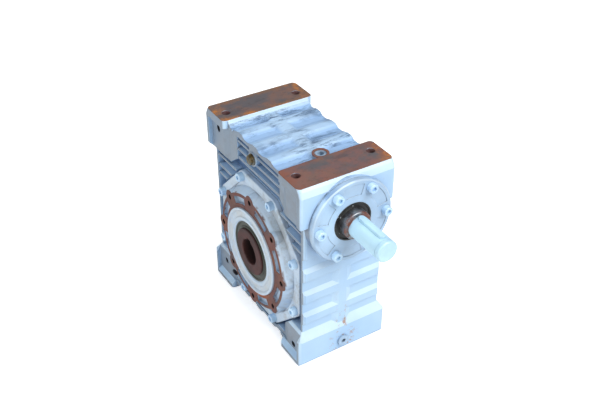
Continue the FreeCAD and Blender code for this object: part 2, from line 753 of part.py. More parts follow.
def make_input_bearing():
    """Roller bearing for the front end of the worm: rings, roller set and cage."""
    start = -input_bearing_start_y - input_bearing_width
    end = -input_bearing_start_y
    centre = (0.0, centre_distance)
    gap = 0.05
    outer_race = roller_circle + roller_radius + gap
    inner_race = roller_circle - roller_radius - gap
    outer = turned_y([
        (start, worm_bore_radius), (end, worm_bore_radius), (end, outer_race - 1.6),
        (end - 2.6, outer_race - 1.6), (end - 2.6, outer_race), (start + 2.6, outer_race),
        (start + 2.6, outer_race - 1.6), (start, outer_race - 1.6),
    ])
    inner = tube("y", input_journal_radius, inner_race, start, end, centre)
    spots = [(x, centre_distance + z) for x, z in ring_points(roller_circle, roller_count, 0.0)]
    rollers = [rod("y", roller_radius, start + 3.0, end - 3.0, spot) for spot in spots]
    openings = [rod("y", roller_radius + 0.15, start + 2.85, end - 2.85, spot) for spot in spots]
    cage = tube("y", roller_circle - 1.4, roller_circle + 1.4, start + 1.0, end - 1.0, centre)
    return outer, inner, rollers, drilled(cage, openings)


def cap_body(radius, screw_circle):
    """Round cover with a centring spigot, built for the front end of the worm."""
    seat = -input_face_y - gasket_thickness
    front = -input_cover_front_y
    spigot_end = -input_bearing_start_y - input_bearing_width
    body = turned_y([
        (spigot_end, 0.0), (spigot_end, worm_bore_radius - running_gap),
        (seat, worm_bore_radius - running_gap), (seat, radius),
        (front + 1.5, radius), (front, radius - 1.5), (front, 0.0),
    ])
    cuts = [rod("y", 29.5, spigot_end - 8.0, spigot_end + 1.0, (0.0, centre_distance))]
    for spot in worm_axis_ring(screw_circle, 6, 0.0):
        cuts.append(rod("y", screw_radius + 0.4, front - 1.0, -115.0, spot))
    return drilled(body, cuts)


def make_input_cover():
    """Front cover with the seal seat and six shallow panels between the screws."""
    front = -input_cover_front_y
    centre = (0.0, centre_distance)
    cuts = [
        rod("y", 22.0, front - 1.0, -100.0, centre),
        rod("y", input_seal_radius, front - 1.0, front + input_seal_width, centre),
    ]
    panel_ring = tube("y", 38.0, 54.0, front - 1.0, front + 0.8, centre)
    spread = math.radians(17.0)
    for index in range(6):
        middle = math.radians(30.0 + 60.0 * index)
        corners = [(0.0, 0.0)] + [
            (70.0 * math.cos(angle), 70.0 * math.sin(angle)) for angle in (middle - spread, middle + spread)
        ]
        wedge = polygon_face([FreeCAD.Vector(x, front - 1.0, centre_distance + z) for x, z in corners])
        cuts.append(panel_ring.common(wedge.extrude(FreeCAD.Vector(0, 3.0, 0))))
    return drilled(cap_body(input_cover_radius, input_screw_circle), cuts)


def cap_gasket(radius, screw_circle):
    """Paper gasket under a round cover, built for the front end."""
    sheet = tube("y", worm_bore_radius + 0.2, radius - 0.3,
                 -input_face_y - gasket_thickness, -input_face_y, (0.0, centre_distance))
    cuts = [
        rod("y", screw_radius + 0.4, -140.0, -110.0, spot)
        for spot in worm_axis_ring(screw_circle, 6, 0.0)
    ]
    return drilled(sheet, cuts)


def cap_screws(screw_circle):
    """Six screws of a round cover, built for the front end."""
    return [
        socket_screw("y", spot, -input_cover_front_y, -1.0, 24.0)
        for spot in worm_axis_ring(screw_circle, 6, 0.0)
    ]


def make_input_seal():
    """Radial seal that runs on the journal of the worm shaft."""
    lip = input_journal_radius + running_gap
    front = -input_cover_front_y
    back = front + input_seal_width
    return turned_y([
        (back, input_seal_radius), (back, lip + 1.5), (back - 2.5, lip + 1.5), (back - 3.5, lip),
        (front, lip), (front, lip + 1.6), (front + 1.4, lip + 2.2),
        (front + 1.4, input_seal_radius - 2.6), (front, input_seal_radius - 2.0),
        (front, input_seal_radius),
    ])


# ---------------------------------------------------------------- plugs

def make_filler_plug():
    """Flush screw plug with hexagon socket in the upper boss."""
    top = filler_boss_top - 1.0
    stem = rod("z", 7.95, top - 13.0, top, (0.0, filler_y))
    return stem.cut(hexagon_prism("z", 8.0, top - 5.5, top + 0.5, (0.0, filler_y)))


def make_drain_plug():
    """Screw plug with a low collar in the lower front foot."""
    face = -lower_foot_y
    stem = rod("y", 5.95, face, face + 12.0, (0.0, drain_z))
    collar = rod("y", 8.5, face - 3.0, face, (0.0, drain_z))
    socket = hexagon_prism("y", 6.0, face - 4.0, face + 2.0, (0.0, drain_z))
    return stem.fuse(collar).removeSplitter().cut(socket)


def make_level_plug():
    """Hexagon head plug in the left side wall."""
    spot = (column_y, column_z)
    face = -body_half_width - 1.0
    stem = rod("x", 4.95, face, face + 12.0, spot)
    collar = rod("x", 8.0, face - 1.5, face, spot)
    head = hexagon_prism("x", 12.0, face - 5.5, face - 1.5, spot)
    return fused([stem, collar, head])


def save(name, shape):
    """Write one node; a list becomes a group of separate solids."""
    if isinstance(shape, list):
        shape = Part.makeCompound(shape)
    shape.exportStep(os.path.join("parts", name + ".step"))


def build():
    os.makedirs("parts", exist_ok=True)
    save("housing", make_housing())

    bearing_names = ("output_bearing_outer", "output_bearing_inner", "output_bearing_balls",
                     "output_bearing_cage")
    left_pieces = {
        "output_cover": make_output_cover(),
        "output_gasket": make_output_gasket(),
        "output_cover_screws": make_output_screws(),
        "output_seal": make_output_seal(),
        "shaft_spacer": make_spacer(),
        "level_plug": make_level_plug(),
    }
    left_pieces.update(zip(bearing_names, make_output_bearing()))
    for name, piece in left_pieces.items():
        save(name + "_left", piece)
        if isinstance(piece, list):
            save(name + "_right", [mirrored_x(single) for single in piece])
        else:
            save(name + "_right", mirrored_x(piece))

    save("hollow_output_shaft", make_hollow_shaft())
    save("wheel_key", wheel_key_blank())
    save("wheel_hub", make_wheel_hub())
    save("worm_wheel_rim", make_wheel_rim())

    save("worm_shaft", make_worm_shaft())
    save("input_key", key_blank())
    save("input_cover", make_input_cover())
    save("input_gasket_front", cap_gasket(input_cover_radius, input_screw_circle))
    save("input_cover_screws_front", cap_screws(input_screw_circle))
    save("input_seal", make_input_seal())
    save("rear_cover", mirrored_y(cap_body(rear_cover_radius, rear_screw_circle)))
    save("input_gasket_rear", mirrored_y(cap_gasket(rear_cover_radius, rear_screw_circle)))
    save("input_cover_screws_rear", [mirrored_y(screw) for screw in cap_screws(rear_screw_circle)])
    bearing_names = ("input_bearing_outer", "input_bearing_inner", "input_bearing_rollers",
                     "input_bearing_cage")
    for name, piece in zip(bearing_names, make_input_bearing()):
        save(name + "_front", piece)
        if isinstance(piece, list):
            save(name + "_rear", [mirrored_y(single) for single in piece])
        else:
            save(name + "_rear", mirrored_y(piece))

    save("filler_plug", make_filler_plug())
    save("drain_plug", make_drain_plug())


build()
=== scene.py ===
import math

import bpy
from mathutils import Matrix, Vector


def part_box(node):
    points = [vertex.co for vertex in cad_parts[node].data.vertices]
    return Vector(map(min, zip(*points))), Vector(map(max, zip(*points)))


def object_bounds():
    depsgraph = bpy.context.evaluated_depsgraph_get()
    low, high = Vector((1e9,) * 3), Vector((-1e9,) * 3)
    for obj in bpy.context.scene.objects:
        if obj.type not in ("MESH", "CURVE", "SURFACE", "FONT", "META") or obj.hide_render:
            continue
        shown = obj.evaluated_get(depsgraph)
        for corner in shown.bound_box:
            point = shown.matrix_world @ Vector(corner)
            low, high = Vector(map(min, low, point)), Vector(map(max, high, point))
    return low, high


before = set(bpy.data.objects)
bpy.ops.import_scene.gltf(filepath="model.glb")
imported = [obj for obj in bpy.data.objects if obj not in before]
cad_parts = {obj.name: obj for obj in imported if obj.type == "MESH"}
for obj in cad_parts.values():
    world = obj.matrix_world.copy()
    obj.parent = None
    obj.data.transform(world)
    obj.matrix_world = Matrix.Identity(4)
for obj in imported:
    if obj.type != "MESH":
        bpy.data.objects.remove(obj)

MM = 0.001
cad_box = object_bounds()

# Brightness of the floor as the camera sees it, near the casing and far away, and of the
# surroundings, as a lamp and as the camera sees them
FLOOR_GLOW = 0.55
FAR_FLOOR_GLOW = 0.95
SKY_LIGHT = 0.27
SKY_SEEN = 1.05


def corners(node):
    """Lowest and highest corner of a CAD node."""
    low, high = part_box(node)
    return Vector(low), Vector(high)


def middle(node):
    """Middle of a CAD node's box."""
    low, high = corners(node)
    return (low + high) / 2


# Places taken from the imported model, in metres
casing_low, casing_high = corners("housing")
casing_half_height = (casing_high.z - casing_low.z) / 2
casing_middle_z = middle("housing").z
plug_centre = middle("filler_plug")
plug_top_z = corners("filler_plug")[1].z
drain_centre = middle("drain_plug")

# Features of the CAD design that the paint has to follow
FLANGE_FACE_X = 74 * MM
FLANGE_HOLE_CIRCLE = 82.5 * MM
FLANGE_HOLE_RADIUS = 5 * MM
PILOT_RADIUS = 65 * MM
BORE_RADIUS = 19 * MM
HOLLOW_SHAFT_END_X = 77.5 * MM
PAD_MIDDLE_Y = 96.5 * MM
PAD_HALF_LENGTH = 25 * MM
SHAFT_SHOULDER_Y = 149 * MM
BOSS_RADIUS = 11.5 * MM
SIDE_WALL_X = 62 * MM
SIDE_FLOOR_X = 50 * MM
PAD_HOLE_X = 56 * MM
PAD_HOLE_Y = 92 * MM
PAD_HOLE_RADIUS = 6 * MM
FOOT_HEIGHT = 25 * MM
FOOT_END_X = 65 * MM
TOP_CREST_Z = 167 * MM
FOOT_END_HOLE_RADIUS = 5 * MM
# Holes in the ends of the feet as (y, z) in millimetres
FOOT_END_HOLES = ((98, -88), (76, -97), (-99, -101.5), (99, 147))


def srgb(red, green, blue):
    """Linear colour from 0-255 display values."""
    def linear(value):
        value /= 255.0
        return value / 12.92 if value <= 0.04045 else ((value + 0.055) / 1.055) ** 2.4
    return (linear(red), linear(green), linear(blue), 1.0)


class Shader:
    """One node material, built up from small reusable pieces."""

    def __init__(self, name):
        self.material = bpy.data.materials.new(name)
        self.material.use_nodes = True
        self.nodes = self.material.node_tree.nodes
        self.links = self.material.node_tree.links
        self.nodes.clear()
        self.point = self.add("ShaderNodeTexCoord").outputs["Object"]
        split = self.add("ShaderNodeSeparateXYZ", {"Vector": self.point})
        self.x, self.y, self.z = split.outputs
        self.facing = self.add("ShaderNodeNewGeometry").outputs["True Normal"]
        split = self.add("ShaderNodeSeparateXYZ", {"Vector": self.facing})
        self.nx, self.ny, self.nz = split.outputs

    def add(self, kind, inputs=None, **settings):
        """New node with its settings and inputs; an input may be a value or a socket."""
        node = self.nodes.new(kind)
        for key, value in settings.items():
            setattr(node, key, value)
        for key, value in (inputs or {}).items():
            if isinstance(value, bpy.types.NodeSocket):
                self.links.new(value, node.inputs[key])
            else:
                node.inputs[key].default_value = value
        return node

    def math(self, operation, first, second=0.0):
        node = self.add("ShaderNodeMath", {0: first, 1: second}, operation=operation)
        return node.outputs[0]

    def product(self, *values):
        result = values[0]
        for value in values[1:]:
            result = self.math("MULTIPLY", result, value)
        return result

    def either(self, first, second):
        return self.math("MAXIMUM", first, second)

    def smooth(self, value, low, high, start=0.0, end=1.0):
        """Smooth step from start to end while value runs from low to high."""
        node = self.add("ShaderNodeMapRange", {
            "Value": value, "From Min": low, "From Max": high, "To Min": start, "To Max": end,
        }, interpolation_type="SMOOTHSTEP")
        return node.outputs["Result"]

    def mix(self, factor, first, second):
        node = self.add("ShaderNodeMix", data_type="RGBA")
        for key, value in (("Factor", factor), ("A", first), ("B", second)):
            sockets = [socket for socket in node.inputs if socket.name == key and socket.enabled]
            if isinstance(value, bpy.types.NodeSocket):
                self.links.new(value, sockets[0])
            else:
                sockets[0].default_value = value
        return [socket for socket in node.outputs if socket.enabled][0]

    def blend(self, factor, first, second):
        """Plain number mix of two values or sockets."""
        node = self.add("ShaderNodeMapRange", {
            "Value": factor, "To Min": first, "To Max": second,
        })
        return node.outputs["Result"]

    def noise(self, scale, detail=5.0, roughness=0.6, stretch=None, offset=(0, 0, 0)):
        """Fractal noise in the range 0 to 1; scale is in cycles per metre."""
        mapping = self.add("ShaderNodeMapping", {
            "Vector": self.point, "Location": offset, "Scale": stretch or (1, 1, 1),
        })
        node = self.add("ShaderNodeTexNoise", {
            "Vector": mapping.outputs[0], "Scale": scale, "Detail": detail, "Roughness": roughness,
        })
        return node.outputs["Fac"]

    def specks(self, scale, size, offset=(0, 0, 0)):
        """Scattered round dots; size is their share of the cell."""
        mapping = self.add("ShaderNodeMapping", {"Vector": self.point, "Location": offset})
        node = self.add("ShaderNodeTexVoronoi", {"Vector": mapping.outputs[0], "Scale": scale})
        return self.smooth(node.outputs["Distance"], size, size * 0.6)

    def size(self, value):
        """Value without its sign."""
        return self.math("ABSOLUTE", value)

    def distance(self, across, along, centre=(0.0, 0.0)):
        """Distance from an axis, from the two coordinates across it and its place in them."""
        aside = self.math("SUBTRACT", across, centre[0])
        ahead = self.math("SUBTRACT", along, centre[1])
        squares = self.math("ADD", self.product(aside, aside), self.product(ahead, ahead))
        return self.math("SQRT", squares)

    def rounded(self, radius):
        """Surface direction with all sharp edges rounded off."""
        return self.add("ShaderNodeBevel", {"Radius": radius}, samples=6).outputs[0]

    def edges(self, radius, low=0.02, high=0.25):
        """Mask of edges, where the rounded and the true surface direction differ."""
        turn = self.add("ShaderNodeVectorMath", {0: self.rounded(radius), 1: self.facing},
                        operation="DOT_PRODUCT")
        return self.smooth(self.math("SUBTRACT", 1.0, turn.outputs["Value"]), low, high)

    def crevices(self, distance, low=0.25, high=0.85):
        """Mask of corners and gaps from ambient occlusion, used for painted shade and for grime that brushes
        and cleaning don't reach.
        """
        shade = self.add("ShaderNodeAmbientOcclusion", {"Distance": distance}, samples=8)
        return self.smooth(shade.outputs["AO"], high, low)

    def finish(self, colour, roughness, metallic=0.0, height=None, relief=0.3 * MM, bevel=0.0,
               coat=0.0, coat_roughness=0.3):
        """Principled surface with bump and optional edge rounding."""
        inputs = {"Base Color": colour, "Roughness": roughness, "Metallic": metallic,
                  "Coat Weight": coat, "Coat Roughness": coat_roughness}
        normal = self.rounded(bevel) if bevel else None
        if height is not None:
            bump = {"Height": height, "Distance": relief, "Strength": 1.0}
            if normal is not None:
                bump["Normal"] = normal
            normal = self.add("ShaderNodeBump", bump).outputs[0]
        if normal is not None:
            inputs["Normal"] = normal
        surface = self.add("ShaderNodeBsdfPrincipled", inputs)
        output = self.add("ShaderNodeOutputMaterial")
        self.links.new(surface.outputs[0], output.inputs["Surface"])
        return self.material


# ---------------------------------------------------------------- layers shared by materials

PAINT_LIGHT = srgb(196, 223, 246)
PAINT_DEEP = srgb(164, 198, 232)
PAINT_SHADE = srgb(92, 130, 176)
PAINT_HIGHLIGHT = srgb(232, 246, 254)
PAINT_TOP = srgb(132, 170, 216)
PAINT_GREY = srgb(184, 194, 202)
DUST_TAN = srgb(164, 150, 128)
GRIME_AND_SHADE = srgb(70, 76, 82)
BARE_HOLE_AND_SHADE = srgb(44, 32, 28)
PAD_HOLE_RUST = srgb(108, 70, 62)
SMUDGE_BLUE = srgb(72, 98, 132)
SEAM_SHADE = srgb(64, 80, 104)
SIDE_SHADE = srgb(106, 120, 138)
RECESS_SHADE = srgb(76, 110, 154)
FLECK_TAN = srgb(166, 118, 82)


def paint_layer(shader, dust=1.0, smudges=1.0):
    """Brushed-on enamel colour with grime and painted shade in the corners, painted highlights and shade by
    which way a face leans, a darker top, and greyer output sides with dust.
    """
    broad = shader.noise(9.0, 3.0)
    fine = shader.noise(60.0, 6.0, 0.7)
    colour = shader.mix(shader.smooth(broad, 0.35, 0.68), PAINT_LIGHT, PAINT_DEEP)
    colour = shader.mix(shader.smooth(fine, 0.5, 0.75, 0.0, 0.4), colour, PAINT_GREY)

    # Faces that look sideways mixed towards grey, as far as the dust amount sets
    sideways = shader.smooth(shader.size(shader.nx), 0.75, 0.97)
    colour = shader.mix(shader.product(sideways, 0.55 * dust), colour, PAINT_GREY)
    settled = shader.product(sideways, shader.smooth(shader.noise(22.0, 6.0, 0.7), 0.46, 0.68), 0.6 * dust)
    colour = shader.mix(settled, colour, DUST_TAN)

    # Painted shade: darker blue in corners and gaps, from the occlusion mask
    corner = shader.crevices(12 * MM)
    colour = shader.mix(shader.product(corner, 0.6), colour, PAINT_SHADE)
    # Patchy dark grime on the occlusion mask: grime and painted shade in the corners
    grime_and_shade = shader.product(corner, shader.smooth(shader.noise(45.0, 6.0, 0.75), 0.45, 0.66), 0.7)
    colour = shader.mix(grime_and_shade, colour, GRIME_AND_SHADE)
    # Painted shade: dark blue lines in narrow gaps and along contacts
    seam_shade = shader.crevices(6 * MM, 0.3, 0.75)
    colour = shader.mix(shader.product(seam_shade, 0.75), colour, SEAM_SHADE)

    rusting = shader.product(shader.smooth(shader.noise(85.0, 7.0, 0.78, offset=(3, 1, 2)), 0.61, 0.68),
                             shader.smooth(shader.noise(14.0, 3.0, offset=(7, 7, 7)), 0.46, 0.6))
    colour = shader.mix(shader.product(rusting, 0.7 * dust), colour, srgb(158, 112, 76))

    # Painted highlight: lighter paint along outer edges, away from corners
    outline = shader.edges(2.2 * MM, 0.02, 0.16)
    edge_highlight = shader.product(outline, shader.math("SUBTRACT", 1.0, corner))
    colour = shader.mix(shader.product(edge_highlight, 0.6), colour, PAINT_HIGHLIGHT)

    # Painted shade: faces looking straight to the front or back darkened, so slopes stand out lighter
    front_shade = shader.smooth(shader.size(shader.ny), 0.88, 0.97)
    colour = shader.mix(shader.product(front_shade, 0.55), colour, PAINT_DEEP)
    # Painted highlight on front and back faces that lean upwards
    fronts = shader.smooth(shader.size(shader.ny), 0.5, 0.8)
    upslope_highlight = shader.product(fronts, shader.smooth(shader.nz, 0.06, 0.3))
    colour = shader.mix(shader.product(upslope_highlight, 0.3), colour, PAINT_HIGHLIGHT)
    # Painted shade on front and back faces that lean downwards, and on faces that look down
    leaning_down = shader.product(fronts, shader.smooth(shader.nz, -0.06, -0.3))
    underside = shader.smooth(shader.nz, -0.2, -0.6)
    shaded = shader.either(shader.product(leaning_down, 0.45), shader.product(underside, 0.6))
    colour = shader.mix(shaded, colour, PAINT_SHADE)

    # Upward faces of the top tinted darker blue, more in the grooves below the crests; the deeper tint in
    # the grooves is painted shade
    upward = shader.product(shader.smooth(shader.nz, 0.68, 0.8), shader.smooth(shader.z, 150 * MM, 158 * MM))
    recess_shade = shader.smooth(shader.z, TOP_CREST_Z - 0.5 * MM, TOP_CREST_Z - 3 * MM, 0.35, 0.75)
    colour = shader.mix(shader.product(upward, recess_shade), colour, PAINT_TOP)
    scuffed = shader.product(shader.smooth(shader.noise(13.0, 3.0, offset=(1, 4, 2)), 0.38, 0.54),
                             shader.smooth(shader.noise(46.0, 8.0, 0.8, (0.45, 1.9, 1.0)), 0.44, 0.6))
    colour = shader.mix(shader.product(upward, scuffed, smudges), colour, SMUDGE_BLUE)
    return colour


def paint_height(shader):
    """Relief of thick enamel over a rough casting."""
    pebble = shader.noise(260.0, 4.0, 0.55)
    sag = shader.noise(38.0, 3.0, 0.5, (1.0, 1.0, 0.45))
    return shader.math("ADD", shader.product(pebble, 0.45), shader.product(sag, 1.2))


def rust_layer(shader, edge_orange, redness, bloom=1.0):
    """Bare machined iron gone rusty: redder by redness, with orange blooms where edge_orange is high."""
    patches = shader.noise(21.0, 8.0, 0.72)
    grain = shader.noise(170.0, 5.0, 0.7)
    scratches = shader.noise(60.0, 5.0, 0.7, (0.5, 1.6, 1.0))
    colour = shader.mix(shader.smooth(patches, 0.42, 0.58), srgb(88, 84, 88), srgb(116, 88, 78))
    reddened = shader.smooth(shader.noise(24.0, 6.0, 0.7, offset=(9, 3, 3)), 0.36, 0.6)
    colour = shader.mix(shader.product(redness, reddened), colour, srgb(132, 84, 76))
    colour = shader.mix(shader.smooth(scratches, 0.52, 0.7, 0.0, 0.6), colour, srgb(68, 66, 72))
    colour = shader.mix(shader.smooth(grain, 0.52, 0.78, 0.0, 0.6), colour, srgb(76, 56, 48))
    reddish = shader.product(edge_orange, shader.smooth(shader.noise(38.0, 7.0, 0.74), 0.38, 0.56))
    rim_tint = shader.mix(redness, srgb(124, 90, 62), srgb(134, 68, 58))
    colour = shader.mix(shader.product(reddish, 0.8), colour, rim_tint)
    spread = shader.smooth(shader.noise(30.0, 7.0, 0.76, offset=(5, 2, 1)), 0.47, 0.6)
    blooming = shader.product(reddish, spread, bloom)
    colour = shader.mix(blooming, colour, srgb(180, 112, 50))
    return colour, shader.math("ADD", shader.product(grain, 0.8), shader.product(patches, 0.6))


def layered(shader, bare, paint, paint_bump, rust, rust_bump, chips=0.0):
    """Paint over bare iron: bare is the mask of the machined faces, chips adds worn edges."""
    worn = bare
    if chips:
        rim = shader.product(shader.edges(1.6 * MM, 0.05, 0.3), chips,
                             shader.smooth(shader.noise(70.0, 6.0, 0.75), 0.56, 0.66))
        worn = shader.either(bare, rim)
    colour = shader.mix(worn, paint, rust)
    roughness = shader.blend(worn, 0.42, 0.72)
    height = shader.blend(worn, paint_bump, rust_bump)
    coat = shader.blend(worn, 0.25, 0.0)
    return colour, roughness, height, coat


# ---------------------------------------------------------------- materials

def hole_mask(s, across, along, centres, radius):
    """Mask of round holes, from the two coordinates across them."""
    mask = 0.0
    for centre in centres:
        distance = s.distance(across, along, centre)
        mask = s.either(mask, s.smooth(distance, radius + 0.5 * MM, radius - 0.1 * MM))
    return mask


def rust_flecks(s):
    """Mask of small rust flecks around the drain plug and at the lower end of the front band."""
    off_drain = s.distance(s.x, s.z, (drain_centre.x, drain_centre.z))
    about_drain = s.product(s.smooth(off_drain, 30 * MM, 12 * MM), s.smooth(s.y, -100 * MM, -110 * MM))
    below_band = s.product(s.smooth(s.size(s.x), 12 * MM, 4 * MM), s.smooth(s.z, -35 * MM, -60 * MM),
                           s.smooth(s.y, -105 * MM, -112 * MM))
    flecks = s.smooth(s.noise(130.0, 6.0, 0.75, offset=(2, 2, 6)), 0.54, 0.6)
    return s.product(s.either(about_drain, below_band), flecks)


def casing_paint(s):
    """Enamel of the casing: side walls darkened grey and the depths between the fins darkened blue, both
    painted shade, and rust flecks.
    """
    paint = paint_layer(s)
    # Painted shade: side walls darkened towards grey
    side_shade = s.smooth(s.size(s.nx), 0.85, 0.97)
    paint = s.mix(s.product(side_shade, 0.75), paint, SIDE_SHADE)
    # Painted shade: dark blue on the recessed wall between the fins
    across = s.size(s.x)
    recess_shade = s.product(s.smooth(across, SIDE_WALL_X - 1 * MM, SIDE_WALL_X - 4 * MM),
                     s.smooth(across, SIDE_FLOOR_X - 5 * MM, SIDE_FLOOR_X - 1 * MM),
                     s.smooth(s.size(s.nx), 0.3, 0.6))
    paint = s.mix(s.product(recess_shade, 0.8), paint, RECESS_SHADE)
    return s.mix(s.product(rust_flecks(s), 0.8), paint, FLECK_TAN)


def filler_boss(s):
    """Mask of the bare top of the filler boss."""
    off_axis = s.distance(s.x, s.y, (plug_centre.x, plug_centre.y))
    return s.product(s.smooth(off_axis, BOSS_RADIUS + 0.8 * MM, BOSS_RADIUS + 0.2 * MM),
                     s.smooth(s.z, plug_top_z - 1.0 * MM, plug_top_z - 0.4 * MM))


def foot_pads(s):
    """Mask of the machined faces of the feet, above and below."""
    above = s.product(s.smooth(s.z, casing_high.z - 0.6 * MM, casing_high.z - 0.2 * MM),
                      s.smooth(s.nz, 0.9, 0.97))
    below = s.product(s.smooth(s.z, casing_low.z + 0.6 * MM, casing_low.z + 0.2 * MM),
                      s.smooth(s.nz, -0.9, -0.97))
    return s.either(above, below)


def casing_rust(s, boss):
    """Rust of the bare faces: orange rims on the rear feet, redder front feet, fresh boss."""
    from_end = s.smooth(s.size(s.x), 46 * MM, casing_high.x)
    off_middle = s.size(s.math("SUBTRACT", s.size(s.y), PAD_MIDDLE_Y))
    from_side = s.smooth(off_middle, 13 * MM, PAD_HALF_LENGTH)
    rim = s.either(from_end, s.product(from_side, s.smooth(s.y, 10 * MM, -10 * MM, 1.0, 0.45)))
    redness = s.smooth(s.y, 10 * MM, -10 * MM, 0.05, 0.6)
    bloom = s.either(s.smooth(s.y, -10 * MM, 10 * MM), s.smooth(s.x, 5 * MM, 45 * MM))
    return rust_layer(s, s.either(rim, boss), redness, bloom)


def casing_holes(s, colour):
    """Rust colour inside the foot holes, and bare iron darkened nearly black as painted shade inside the
    holes in the foot ends.
    """
    across, ahead = s.size(s.x), s.size(s.y)
    from_middle = s.size(s.math("SUBTRACT", s.z, casing_middle_z))
    in_foot = s.smooth(from_middle, casing_half_height - FOOT_HEIGHT - 1 * MM,
                       casing_half_height - FOOT_HEIGHT + 1 * MM)
    below_pad = s.smooth(from_middle, casing_half_height - 0.1 * MM, casing_half_height - 0.6 * MM)
    pad_holes = s.product(hole_mask(s, across, ahead, [(PAD_HOLE_X, PAD_HOLE_Y)], PAD_HOLE_RADIUS),
                          in_foot, below_pad)
    end_spots = [(y * MM, z * MM) for y, z in FOOT_END_HOLES]
    end_holes = s.product(hole_mask(s, s.y, s.z, end_spots, FOOT_END_HOLE_RADIUS),
                          s.smooth(across, FOOT_END_X + 0.2 * MM, FOOT_END_X - 0.4 * MM))
    # Holes in the foot ends: bare iron darkened nearly black as painted shade
    colour = s.mix(end_holes, colour, BARE_HOLE_AND_SHADE)
    return s.mix(pad_holes, colour, PAD_HOLE_RUST)


def casing_material():
    """Casting: enamel with bare rusty feet pads and filler boss, bare holes and a chipped edge."""
    s = Shader("casing_enamel")
    paint = casing_paint(s)
    boss = filler_boss(s)
    bare = s.either(foot_pads(s), boss)
    rust, rust_bump = casing_rust(s, boss)
    chipped_edge = s.product(s.smooth(s.x, -50 * MM, -58 * MM), s.smooth(s.z, 100 * MM, 135 * MM))
    chips = s.blend(chipped_edge, 0.7, 3.0)
    colour, roughness, height, coat = layered(s, bare, paint, paint_height(s), rust, rust_bump, chips)
    colour = casing_holes(s, colour)
    return s.finish(colour, roughness, 0.0, height, 0.35 * MM, 2.4 * MM, coat)


def cover_paint(s, across, radius):
    """Enamel of the octagonal covers: beige pilot ring, painted blue shade and grime in the hollows around
    the flange.
    """
    paint = paint_layer(s, 0.45)
    beige = s.product(s.smooth(radius, PILOT_RADIUS - 1.5 * MM, PILOT_RADIUS - 5 * MM),
                      s.smooth(radius, PILOT_RADIUS - 16 * MM, PILOT_RADIUS - 13 * MM),
                      s.smooth(s.noise(30.0, 5.0, 0.7), 0.35, 0.6))
    paint = s.mix(s.product(beige, 0.75), paint, srgb(182, 180, 172))
    paint = s.mix(s.smooth(s.noise(16.0, 4.0), 0.3, 0.6, 0.15, 0.5), paint, srgb(216, 224, 232))
    behind_face = s.product(s.smooth(across, FLANGE_FACE_X - 4 * MM, FLANGE_FACE_X - 7 * MM),
                            s.smooth(radius, PILOT_RADIUS, PILOT_RADIUS + 1 * MM))
    # Painted shade: dark blue in the pockets between the bosses around the flange
    pocket_shade = s.product(behind_face, s.smooth(radius, 90 * MM, 80 * MM))
    paint = s.mix(s.product(pocket_shade, 0.75), paint, srgb(88, 118, 154))
    grimy = s.product(behind_face, s.smooth(s.noise(20.0, 7.0, 0.75, offset=(4, 1, 8)), 0.46, 0.62))
    return s.mix(s.product(grimy, 0.5), paint, srgb(134, 128, 118))


def cover_rust(s, radius):
    """Dark rust of the mounting face, fresh orange low on its inner rim."""
    near_ring = s.smooth(radius, PILOT_RADIUS + 9 * MM, PILOT_RADIUS)
    low_rim = s.product(s.smooth(s.z, -20 * MM, -75 * MM), near_ring)
    rust, rust_bump = rust_layer(s, s.either(low_rim, 0.3), 0.8)
    rust = s.mix(0.3, rust, srgb(78, 44, 42))
    fresh = s.product(s.smooth(s.z, -40 * MM, -62 * MM), near_ring,
                      s.smooth(s.noise(50.0, 6.0, 0.75, offset=(6, 6, 1)), 0.42, 0.56))
    return s.mix(s.product(fresh, 0.8), rust, srgb(184, 92, 38)), rust_bump


def flange_spots():
    """Centres of the eight holes in the mounting face."""
    turns = [math.radians(45 * index) for index in range(8)]
    return [(FLANGE_HOLE_CIRCLE * math.cos(turn), FLANGE_HOLE_CIRCLE * math.sin(turn)) for turn in turns]


def cover_material():
    """Octagonal covers: enamel with a bare rusty mounting face."""
    s = Shader("output_cover_enamel")
    across = s.size(s.x)
    radius = s.distance(s.y, s.z)
    paint = cover_paint(s, across, radius)
    face = s.product(s.smooth(across, FLANGE_FACE_X - 0.9 * MM, FLANGE_FACE_X - 0.3 * MM),
                     s.smooth(across, FLANGE_FACE_X + 0.7 * MM, FLANGE_FACE_X + 0.3 * MM))
    bare = s.product(face, s.smooth(radius, PILOT_RADIUS - 0.4 * MM, PILOT_RADIUS + 0.2 * MM))
    ragged = s.product(s.smooth(across, FLANGE_FACE_X - 4 * MM, FLANGE_FACE_X - 1 * MM),
                       s.smooth(radius, PILOT_RADIUS + 3 * MM, PILOT_RADIUS + 6 * MM),
                       s.smooth(s.noise(32.0, 5.0, 0.65), 0.5, 0.62))
    bare = s.either(bare, ragged)
    rust, rust_bump = cover_rust(s, radius)
    colour, roughness, height, coat = layered(s, bare, paint, paint_height(s), rust, rust_bump, 0.6)
    # Flange holes: bare iron darkened nearly black as painted shade
    holes = s.product(hole_mask(s, s.y, s.z, flange_spots(), FLANGE_HOLE_RADIUS),
                      s.smooth(across, FLANGE_FACE_X - 0.2 * MM, FLANGE_FACE_X - 0.7 * MM))
    colour = s.mix(holes, colour, BARE_HOLE_AND_SHADE)
    return s.finish(colour, roughness, 0.0, height, 0.3 * MM, 1.4 * MM, coat)


